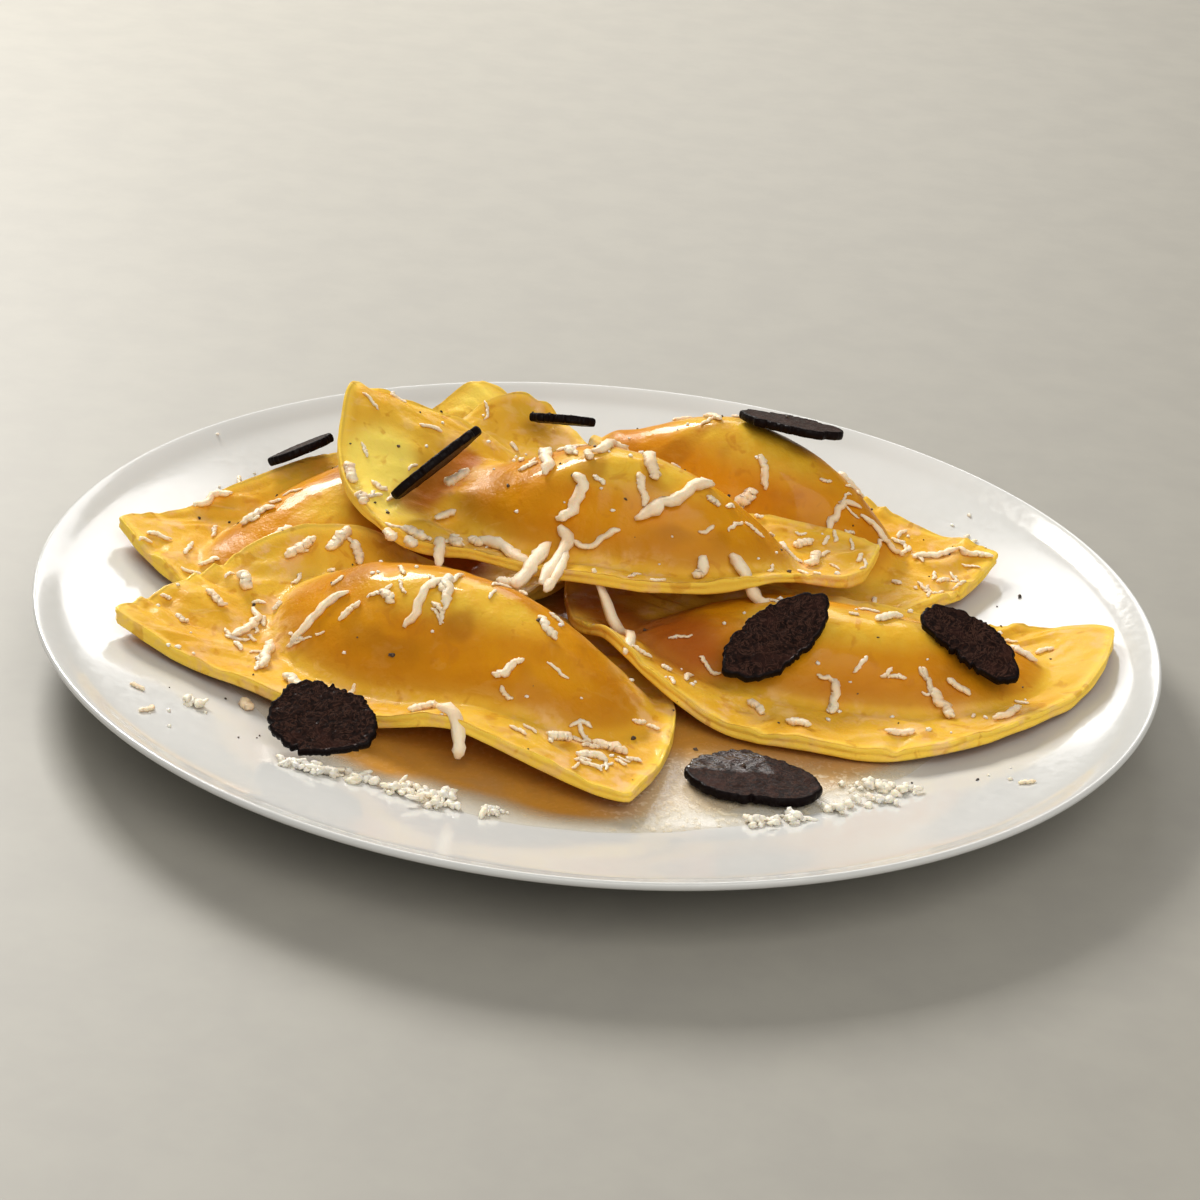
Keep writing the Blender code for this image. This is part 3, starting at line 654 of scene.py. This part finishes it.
def painted_shade_share(painted_shade, x, y):
    """How strongly painted shadow darkens the dough at a point of the plate."""
    if painted_shade is None:
        return 0.0
    (x0, y0), (x1, y1), reach = painted_shade
    along = ((x - x0) * (x1 - x0) + (y - y0) * (y1 - y0)) / ((x1 - x0) ** 2 + (y1 - y0) ** 2)
    along = min(max(along, 0.0), 1.0)
    away = math.hypot(x - x0 - along * (x1 - x0), y - y0 - along * (y1 - y0))
    away += 0.22 * reach * perlin(x * 0.2, y * 0.2, 6.0)
    return math.exp(-(max(away, 0.0) / reach) ** 2)


def build_raviolo(spec, index, material):
    """Fine raviolo over its solid: relief on top, two sheets showing at the edge."""
    verts, faces = node_mesh(spec["name"])
    tree = BVHTree.FromPolygons(verts, faces)
    rim = half_moon(spec, RIM_POINTS)
    centre = np.array((0.0, RING_CENTRE * spec["depth"]))
    low, high = rim.min(axis=0) - 4.0, rim.max(axis=0) + 4.0
    us = np.arange(low[0], high[0] + FIELD_STEP, FIELD_STEP)
    vs = np.arange(low[1], high[1] + FIELD_STEP, FIELD_STEP)
    grid_u, grid_v = np.meshgrid(us, vs, indexing="ij")
    top = cast_field(spec, tree, us, vs, rim, True)
    under = cast_field(spec, tree, us, vs, rim, False)
    top = blur(top - filling(spec, grid_u, grid_v)[1], spec["soft"])
    under = blur(under, 2.4)
    seed = 11.0 * index + 3.0
    out = []
    zone = []
    painted_shades = []

    def ring_of(share, inset, kind, push=0.0):
        start = len(out)
        number = 1 if share == 0.0 else RIM_POINTS
        for k in range(number):
            spoke = rim[k] - centre
            length = math.hypot(*spoke)
            reach = share - (inset[k] if isinstance(inset, np.ndarray) else inset) / length
            u, v = centre + spoke * reach
            x, y = to_plate(spec, u, v)
            theta = math.tau * k / RIM_POINTS
            away, _, mound = filling(spec, u, v)
            lower = read_grid(under, low, FIELD_STEP, u, v)
            lower = max(lower, float(plate_height(x, y)) + OVER_PLATE)
            upper = max(read_grid(top, low, FIELD_STEP, u, v), lower + DOUGH)
            relief = dough_relief(spec, reach, theta, u, v, float(away),
                                  (1.0 - reach) * length, seed)
            if kind == "top":
                z = max(upper + float(mound) + relief, lower + THINNEST)
            elif kind == "under":
                z = lower
            else:
                z = lower * (1.0 - push) + max(upper + relief, lower + THINNEST) * push
            out.append((x, y, z))
            # Closeness to the cut edge, which the material paints paler as painted light.
            closeness = float(np.clip(1.0 - (1.0 - reach) * length / 5.0, 0.0, 1.0))
            dome = float(mound) / spec["mound"][4]
            # Painted light: the far slope of the filling, which faces the lamp, is painted paler.
            far = -spec["ridge"][0] * (v - spec["mound"][1]) / spec["mound"][3]
            dome *= 1.0 - 0.7 * spec["ridge"][1] * float(smoothstep((far + 0.1) / 0.5))
            damp = 0.5 + 0.5 * perlin(u * 0.05, v * 0.05, seed + 9.0)
            if kind == "under":
                dome, closeness = 0.3, 0.2
            damp += 0.2 * (1.0 - min(dome * 3.0, 1.0))
            # Painted paler where dry: dry dough, and painted light on the lit corner and top.
            damp -= spec["dry_and_lit"][0] * float(smoothstep((u / spec["half"] - spec["dry_and_lit"][1]) / 0.3))
            zone.append((dome, closeness, max(damp, 0.0)))
            # Painted shadow: reddish brown along the raviolo's shade line.
            painted_shades.append((painted_shade_share(spec["painted_shade"], x, y), 0.0, 0.0))
        return start, number

    def uneven(scale, shift):
        turns = np.arange(RIM_POINTS) * math.tau / RIM_POINTS
        return np.array([perlin(scale * math.cos(a), scale * math.sin(a), shift) for a in turns])

    upper_in = 0.4 + 0.35 * uneven(7.0, seed)
    lower_in = 0.45 + 0.35 * uneven(9.0, seed + 5.0)
    seam_in = np.maximum(upper_in, lower_in) + spec["seam"]
    rings = [ring_of(0.0, 0.0, "top")]
    shares = [math.sin(0.5 * math.pi * (i / RINGS)) ** 1.15 for i in range(1, RINGS)]
    rings += [ring_of(share, 0.0, "top") for share in shares if share < 0.985]
    edge = ((upper_in + 0.55, 1.0), (upper_in + 0.2, 0.95), (upper_in, 0.8),
            (upper_in + 0.08, 0.65), (seam_in, 0.52), (seam_in, 0.47), (lower_in + 0.08, 0.34),
            (lower_in, 0.2), (lower_in + 0.2, 0.05))
    rings.append(ring_of(1.0, upper_in + 1.1, "top"))
    rings += [ring_of(1.0, inset, "side", push) for inset, push in edge]
    rings.append(ring_of(1.0, lower_in + 0.7, "under"))
    for share in (0.95, 0.9, 0.82, 0.73, 0.63, 0.52, 0.4, 0.28, 0.14, 0.0):
        rings.append(ring_of(share, 0.0, "under"))
    quads = skin(rings, RIM_POINTS)
    obj = new_object(spec["name"] + "_dough", out, quads, material, crease=SHARP_EDGE)
    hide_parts(spec["name"])
    paint(obj, "zone", zone)
    paint(obj, "painted_shade", painted_shades)
    return out, quads


# --- truffle

def build_slice(name, index, material):
    """Fine slice over its solid: rough rind, slightly wavy faces."""
    verts, faces = node_mesh(name)
    centre = sum(verts, Vector()) / len(verts)
    sums = {}
    for f in faces:
        a, b, c = (verts[i] for i in f)
        cross = (b - a).cross(c - a)
        key = tuple(round(t, 1) for t in cross.normalized())
        area, total = sums.get(key, (0.0, Vector()))
        sums[key] = (area + cross.length, total + cross)
    normal = max(sums.values(), key=lambda item: item[0])[1].normalized()
    if normal.z < 0.0:
        normal.negate()
    side = normal.orthogonal().normalized()
    other = normal.cross(side)
    local = [((v - centre).dot(side), (v - centre).dot(other), (v - centre).dot(normal))
             for v in verts]
    half = max(abs(p[2]) for p in local)
    outer = [p for p in local if abs(p[2]) < half - 0.1]
    angles = np.array([math.atan2(p[1], p[0]) for p in outer])
    radii = np.array([math.hypot(p[0], p[1]) for p in outer])
    order = np.argsort(angles)
    angles, radii = angles[order], radii[order]
    seed = 3.7 * index + 1.0
    out = []
    zone = []

    def rim_radius(a):
        base = float(np.interp(a, angles, radii, period=math.tau))
        c, s = math.cos(a), math.sin(a)
        notch = max(0.0, perlin(6.0 * c, 6.0 * s, seed + 8.0) - 0.28) * 2.4
        rough = 0.7 * perlin(7.0 * c, 7.0 * s, seed) + 0.35 * perlin(19.0 * c, 19.0 * s, seed)
        return base - 0.4 + rough - notch

    def wet_share(p, sign):
        """How wet the upper face is: a patch at the back of one slice."""
        if name != WET_SLICE or sign < 0:
            return 0.0
        across, back = p.x - centre.x, p.y - centre.y
        ragged = 0.9 * perlin(p.x * 0.25, p.y * 0.25, 3.0)
        return float(smoothstep((back - 0.2 + ragged) / 2.6)
                     * smoothstep((6.5 - across - 0.4 * back + ragged) / 3.0))

    def add(share, inset, level, sign, rind):
        start = len(out)
        number = 1 if share == 0.0 else SLICE_POINTS
        for k in range(number):
            a = -math.pi + math.tau * k / SLICE_POINTS
            r = (rim_radius(a) - inset) * share
            x, y = r * math.cos(a), r * math.sin(a)
            wave = 0.12 * perlin(x * 0.35, y * 0.35, seed + sign)
            wave += 0.07 * perlin(x * 1.1, y * 1.1, seed + sign)
            z = level * half + wave * (1.0 - abs(rind - 0.5)) - 0.1 * sign
            p = centre + side * x + other * y + normal * z
            p.z = min(p.z, cad_box[1][2] / MM - 0.05)
            out.append(p)
            zone.append((rind, wet_share(p, sign), 0.0))
        return start, number

    rings = [add(0.0, 0, 1, 1, 0.0)]
    rings += [add(s, 0, 1, 1, max(0.0, (s - 0.86) / 0.14)) for s in
              (0.12, 0.25, 0.38, 0.5, 0.61, 0.71, 0.8, 0.87, 0.92)]
    for inset, level in ((0.45, 0.98), (0.2, 0.85), (0.03, 0.5), (0.0, 0.1), (0.05, -0.4),
                         (0.2, -0.82), (0.45, -0.98)):
        rings.append(add(1.0, inset, level, 0, 1.0))
    rings += [add(s, 0, -1, -1, max(0.0, (s - 0.86) / 0.14)) for s in
              (0.92, 0.87, 0.78, 0.66, 0.53, 0.4, 0.26, 0.13)]
    rings.append(add(0.0, 0, -1, -1, 0.0))
    faces = skin(rings, SLICE_POINTS)
    obj = new_object(name + "_flesh", out, faces, material)
    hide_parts(name)
    paint(obj, "zone", zone)
    return out, faces


# --- what is strewn over the dish

class Ground:
    """Everything that a shred or a crumb can fall on."""

    def __init__(self, meshes, slices_from):
        verts = []
        faces = []
        for number, (more, polygons) in enumerate(meshes):
            if number == slices_from:
                self.first_slice_face = len(faces)
            base = len(verts)
            verts.extend(Vector(v) for v in more)
            faces.extend(tuple(i + base for i in f) for f in polygons)
        self.tree = BVHTree.FromPolygons(verts, faces)

    def drop(self, x, y):
        """Height of the food or the plate at (x, y)."""
        hit = self.tree.ray_cast(Vector((x, y, ABOVE)), Vector((0, 0, -1)))[0]
        return float(plate_height(x, y)) if hit is None else hit.z

    def on_slice(self, x, y):
        """Whether a slice of truffle lies uppermost at (x, y)."""
        face = self.tree.ray_cast(Vector((x, y, ABOVE)), Vector((0, 0, -1)))[2]
        return face is not None and face >= self.first_slice_face


def spline(points, count):
    """Smooth run through the points."""
    pts = [Vector(p) for p in points]
    if len(pts) == 2:
        return [pts[0].lerp(pts[1], i / (count - 1)) for i in range(count)]
    out = []
    for i in range(count):
        t = i / (count - 1) * (len(pts) - 1)
        k = min(int(t), len(pts) - 2)
        t -= k
        p0, p1 = pts[max(k - 1, 0)], pts[k]
        p2, p3 = pts[k + 1], pts[min(k + 2, len(pts) - 1)]
        out.append(0.5 * (2 * p1 + (p2 - p0) * t + (2 * p0 - 5 * p1 + 4 * p2 - p3) * t * t
                          + (3 * p1 - p0 - 3 * p2 + p3) * t ** 3))
    return out


def lay(ground, points, width, rng):
    """Path of a shred that lies on the food and bridges small hollows; None where it is steep."""
    if any(len(p) == 3 for p in points):
        full = [p if len(p) == 3 else (*p, ground.drop(*p) + 0.4 * width) for p in points]
        return spline(full, 16)
    flat = spline([(*p, 0.0) for p in points], 20)
    bow = rng.uniform(-0.16, 0.16)
    kink = rng.uniform(-0.07, 0.07)
    along = flat[-1] - flat[0]
    sideways = Vector((-along.y, along.x, 0.0))
    seed = rng.uniform(0.0, 50.0)
    line = [p + sideways * (bow * math.sin(math.pi * i / 19) + kink * math.sin(math.tau * i / 19)
                            + 0.1 * perlin(i * 0.45, seed)) for i, p in enumerate(flat)]
    floor = np.array([ground.drop(p.x, p.y) for p in line]) + 0.38 * width
    if np.abs(np.diff(floor)).max() > 3.0:
        return None
    level = floor.copy()
    for _ in range(14):
        soft = level.copy()
        soft[1:-1] = 0.25 * level[:-2] + 0.5 * level[1:-1] + 0.25 * level[2:]
        level = np.maximum(soft, floor)
    return [Vector((p.x, p.y, z)) for p, z in zip(line, level)]


def add_shred(out, faces, path, width, rng):
    """Ragged ribbon with an uneven section along the path."""
    sides = SHRED_SIDES
    base = len(out)
    twist = rng.uniform(0.0, math.tau)
    spin = rng.uniform(-0.9, 0.9)
    seed = rng.uniform(0.0, 90.0)
    count = len(path)
    for i, p in enumerate(path):
        ahead = (path[min(i + 1, count - 1)] - path[max(i - 1, 0)]).normalized()
        side = ahead.cross(Vector((0, 0, 1)))
        side = side.normalized() if side.length > 0.05 else Vector((1, 0, 0))
        up = side.cross(ahead)
        t = i / (count - 1)
        taper = min(1.0, 0.45 + 3.4 * t, 0.4 + 3.6 * (1 - t))
        for k in range(sides):
            a = math.tau * k / sides + twist + spin * t
            rough = 1.0 + 0.34 * perlin(t * 7.0, math.cos(a) * 1.3, seed + math.sin(a))
            rough += 0.3 * perlin(i * 0.9, math.cos(a) * 2.2, seed + 2.2 * math.sin(a))
            square = 1.0 / max(abs(math.cos(a)), abs(math.sin(a))) ** 0.8
            r = 0.5 * width * taper * rough * square
            out.append(p + side * (r * math.cos(a)) + up * (0.72 * r * math.sin(a)))
    for i in range(count - 1):
        for k in range(sides):
            n = (k + 1) % sides
            a = base + i * sides
            faces.append((a + k, a + n, a + sides + n, a + sides + k))
    faces.append(tuple(base + k for k in reversed(range(sides))))
    faces.append(tuple(base + (count - 1) * sides + k for k in range(sides)))


def ball():
    """Corners and triangles of a lump with twenty faces."""
    fifth, waist, level = 1.2566, 0.894, 0.447
    upper = [(math.cos(k * fifth) * waist, math.sin(k * fifth) * waist, level) for k in range(5)]
    lower = [(math.cos(k * fifth + fifth / 2) * waist, math.sin(k * fifth + fifth / 2) * waist,
              -level) for k in range(5)]
    following = [(k, (k + 1) % 5) for k in range(5)]
    faces = [(0, 2 + k, 2 + n) for k, n in following]
    faces += [(2 + k, 7 + k, 2 + n) for k, n in following]
    faces += [(7 + k, 7 + n, 2 + n) for k, n in following]
    faces += [(1, 7 + n, 7 + k) for k, n in following]
    return [(0, 0, 1), (0, 0, -1)] + upper + lower, faces


def add_grain(out, faces, centre, size, rng, squash=0.7, split=True):
    """Small uneven lump, rounder where its faces are split."""
    corners, tris = ball()
    verts = [Vector(v).normalized() for v in corners]
    if split:
        finer = []
        middle = {}
        for f in tris:
            mids = []
            for a, b in ((f[0], f[1]), (f[1], f[2]), (f[2], f[0])):
                key = (min(a, b), max(a, b))
                if key not in middle:
                    middle[key] = len(verts)
                    verts.append(((verts[a] + verts[b]) / 2).normalized())
                mids.append(middle[key])
            finer += [(f[0], mids[0], mids[2]), (f[1], mids[1], mids[0]),
                      (f[2], mids[2], mids[1]), tuple(mids)]
        tris = finer
    seed = rng.uniform(0, 500)
    turn = Matrix.Rotation(rng.uniform(0, math.tau), 3, "Z")
    stretch = Vector((rng.uniform(0.8, 1.3), rng.uniform(0.7, 1.0), squash))
    base = len(out)
    for v in verts:
        r = size * (1.0 + 0.75 * perlin(v.x * 1.5 + seed, v.y * 1.5, v.z * 1.5))
        p = Vector((v.x * stretch.x, v.y * stretch.y, v.z * stretch.z)) * r
        out.append(centre + turn @ p)
    faces.extend(tuple(i + base for i in f) for f in tris)


def build_shreds(ground, material, rng):
    """Grated cheese: the shreds of the table, then thin ones thrown at random."""
    out = []
    faces = []
    for entry in SHREDS:
        points, width = entry[:-1], SHRED_SCALE * entry[-1]
        path = lay(ground, points, width, rng)
        if path is not None:
            add_shred(out, faces, path, width, rng)
    spots = [(rng.uniform(-92, 92), rng.uniform(-62, 66)) for _ in range(150)]
    for x, y, number, spread in FINE:
        spots += [(x + rng.gauss(0, spread), y + rng.gauss(0, spread)) for _ in range(number)]
    for x, y in spots:
        if ground.drop(x, y) < 10.0 or ground.on_slice(x, y):
            continue
        a = rng.uniform(0, math.tau)
        length = rng.uniform(2.0, 5.5)
        width = rng.uniform(0.55, 1.1)
        points = ((x, y), (x + length * math.cos(a), y + length * math.sin(a)))
        path = lay(ground, points, width, rng)
        if path is None or ground.on_slice(*points[1]):
            continue
        if abs(path[-1].z - path[0].z) < 0.8 * length:
            add_shred(out, faces, path, width, rng)
    new_object("cheese_shreds", out, faces, material)


def build_crumbs(ground, material, rng):
    """Crumbs of cheese in heaps on the plate, and single ones on the food."""
    out = []
    faces = []
    for x, y, number, spread in HEAPS:
        for _ in range(2 * number):
            px, py = x + rng.gauss(0, spread), y + rng.gauss(0, 0.7 * spread)
            size = rng.uniform(0.4, 1.15)
            rise = rng.uniform(0.3, 1.3) * size
            add_grain(out, faces, Vector((px, py, ground.drop(px, py) + rise)), size, rng)
        for _ in range(number // 4):
            px, py = x + rng.gauss(0, spread), y + rng.gauss(0, 0.7 * spread)
            z = ground.drop(px, py) + rng.uniform(0.5, 1.6)
            a, length = rng.uniform(0, math.tau), rng.uniform(1.4, 3.4)
            step = Vector((math.cos(a), math.sin(a), rng.uniform(-0.25, 0.35))) * length
            start = Vector((px, py, z))
            path = spline([start, start + step], 6)
            add_shred(out, faces, path, rng.uniform(0.6, 1.2), rng)
    for _ in range(150):
        px, py = rng.uniform(-95, 95), rng.uniform(-70, 70)
        z = ground.drop(px, py)
        if z < 9.0 or ground.on_slice(px, py):
            continue
        size = rng.uniform(0.25, 0.6)
        add_grain(out, faces, Vector((px, py, z + 0.35 * size)), size, rng)
    new_object("cheese_crumbs", out, faces, material)


def build_pepper(ground, material):
    """Ground pepper: the coarse specks of the table, then fine ones thrown at random."""
    rng = random.Random(7)
    out = []
    faces = []
    spots = [(x, y, rng.uniform(0.5, 0.8)) for x, y in PEPPER]
    for _ in range(110):
        spots.append((rng.uniform(-98, 98), rng.uniform(-80, 75), rng.uniform(0.16, 0.45)))
    for x, y, size in spots:
        if math.hypot(x, y) > 100:
            continue
        centre = Vector((x, y, ground.drop(x, y) + 0.3 * size))
        add_grain(out, faces, centre, size, rng, squash=0.8, split=False)
    new_object("pepper_specks", out, faces, material, smooth=False)


def build_butter(ground, material):
    """Thin pool of butter on the plate's floor, coloured deepest beside the pasta, partly as
    painted shade.
    """
    cells = np.arange(-96.0, 97.0, BUTTER_CELL)
    covered = np.array([[ground.drop(x, y) - plate_height(x, y) > 1.0 for y in cells]
                        for x in cells], dtype=float)
    beside = blur(covered, 3.4)
    out = []
    zone = []
    rings = []

    def edge_radius(a):
        x, y = math.cos(a), math.sin(a)
        reach = 82.5 + 1.7 * perlin(2.5 * x, 2.5 * y, 4.0) + 0.9 * perlin(8 * x, 8 * y, 2.0)
        reach += 3.0 * math.exp(-((a + 1.75) / 0.6) ** 2)
        return reach

    def add(share, lift):
        start = len(out)
        number = 1 if share == 0.0 else BUTTER_POINTS
        for k in range(number):
            a = -math.pi + math.tau * k / BUTTER_POINTS
            r = edge_radius(a) * share
            x, y = r * math.cos(a), r * math.sin(a)
            out.append((x, y, float(plate_height(x, y)) + 0.02 + lift))
            gap = edge_radius(a) * (1.0 - share)
            near = read_grid(beside, (cells[0], cells[0]), BUTTER_CELL, x, y)
            # Deep colour near the pasta and away from the edge: deeper butter, and painted shade
            # beside the pasta.
            deep = float(smoothstep((gap - 0.3) / 8.0)) * float(smoothstep((near - 0.01) / 0.3))
            deep *= 0.95 + 0.35 * perlin(x * 0.07, y * 0.07, 3.0)
            front = float(smoothstep((x + 10.0) / 30.0)) * float(smoothstep((-y - 40.0) / 20.0))
            zone.append((max(deep * (1.0 - 0.6 * front), 0.0), front, 0.0))
        rings.append((start, number))

    add(0.0, BUTTER_DEPTH)
    for share in np.linspace(0.06, 0.97, 34):
        add(float(share), BUTTER_DEPTH)
    for share, lift in ((0.985, 0.32), (0.993, 0.26), (0.998, 0.15), (1.0, 0.05), (0.999, 0.0)):
        add(share, lift)
    for share in (0.9, 0.7, 0.45, 0.2, 0.0):
        add(share, 0.0)
    obj = new_object("butter_sauce", out, skin(rings, BUTTER_POINTS), material)
    paint(obj, "zone", zone)


# --- studio

def build_stage():
    """Pale table that curves up behind the dish, in metres."""
    verts = []
    faces = []
    front, back, bend, top, half_width, steps = -1.6, 1.2, 0.5, 2.2, 2.2, 12
    profile = [(front, 0.0), (back, 0.0)]
    for i in range(1, steps + 1):
        a = 0.5 * math.pi * i / steps
        profile.append((back + bend * math.sin(a), bend - bend * math.cos(a)))
    profile.append((back + bend, top))
    for y, z in profile:
        verts += [(-half_width, y, z), (half_width, y, z)]
    for i in range(len(profile) - 1):
        a = 2 * i
        faces.append((a, a + 1, a + 3, a + 2))
    mesh = bpy.data.meshes.new("table")
    mesh.from_pydata(verts, [], faces)
    mesh.shade_smooth()
    n = Nodes("pale_table", (0.36, 0.345, 0.31), 0.55)
    weave = n.ramp(n.noise(60.0, 3.0, 0.6), 0.3, 0.7)
    mesh.materials.append(n.finish(n.mix(weave, (0.365, 0.35, 0.31), (0.345, 0.33, 0.295))))
    obj = bpy.data.objects.new("table", mesh)
    bpy.context.scene.collection.objects.link(obj)


def build_studio():
    """Soft lamps at the back left, behind and in front, the sky and the camera."""
    for name, place, size, power, colour in LAMPS:
        data = bpy.data.lights.new(name, "AREA")
        data.size = size
        data.energy = power
        data.color = colour
        lamp = bpy.data.objects.new(name, data)
        lamp.location = place
        aim = Vector(LAMP_AIM) - Vector(place)
        lamp.rotation_mode = "QUATERNION"
        lamp.rotation_quaternion = aim.to_track_quat("-Z", "Y")
        bpy.context.scene.collection.objects.link(lamp)
    world = bpy.data.worlds.new("studio")
    world.use_nodes = True
    background = world.node_tree.nodes["Background"]
    background.inputs["Color"].default_value = SKY
    background.inputs["Strength"].default_value = SKY_STRENGTH
    bpy.context.scene.world = world

    tilt, roll = math.radians(CAMERA_TILT), math.radians(CAMERA_ROLL)
    ahead = Vector((0.0, math.cos(tilt), -math.sin(tilt)))
    right = Vector((1.0, 0.0, 0.0))
    up = right.cross(ahead)
    across = right * math.cos(roll) + up * math.sin(roll)
    upright = up * math.cos(roll) - right * math.sin(roll)
    turned = Matrix((across, upright, -ahead)).transposed()
    data = bpy.data.cameras.new("camera")
    data.lens = CAMERA_LENS
    data.sensor_width = CAMERA_SENSOR
    camera = bpy.data.objects.new("camera", data)
    camera.rotation_mode = "QUATERNION"
    camera.rotation_quaternion = turned.to_quaternion()
    camera.location = Vector(CAMERA_AIM) - ahead * CAMERA_DISTANCE
    bpy.context.scene.collection.objects.link(camera)
    bpy.context.scene.camera = camera
    settings = bpy.context.scene.view_settings
    settings.view_transform = "Standard"
    settings.look = "None"
    settings.exposure = 0.0


def main():
    build_studio()
    build_stage()
    dough = dough_material()
    truffle = truffle_material()
    build_plate(glaze_material())
    meshes = [build_raviolo(spec, index, dough) for index, spec in enumerate(RAVIOLI)]
    meshes += [build_slice(name, index, truffle) for index, name in enumerate(SLICES)]
    ground = Ground(meshes, len(RAVIOLI))
    build_butter(ground, butter_material())
    rng = random.Random(41)
    build_shreds(ground, cheese_material("grated_cheese", (0.97, 0.8, 0.58), (0.94, 0.7, 0.46)),
                 rng)
    build_crumbs(ground, cheese_material("crumbly_cheese", (0.97, 0.9, 0.78), (0.95, 0.84, 0.66)),
                 rng)
    build_pepper(ground, pepper_material())


main()
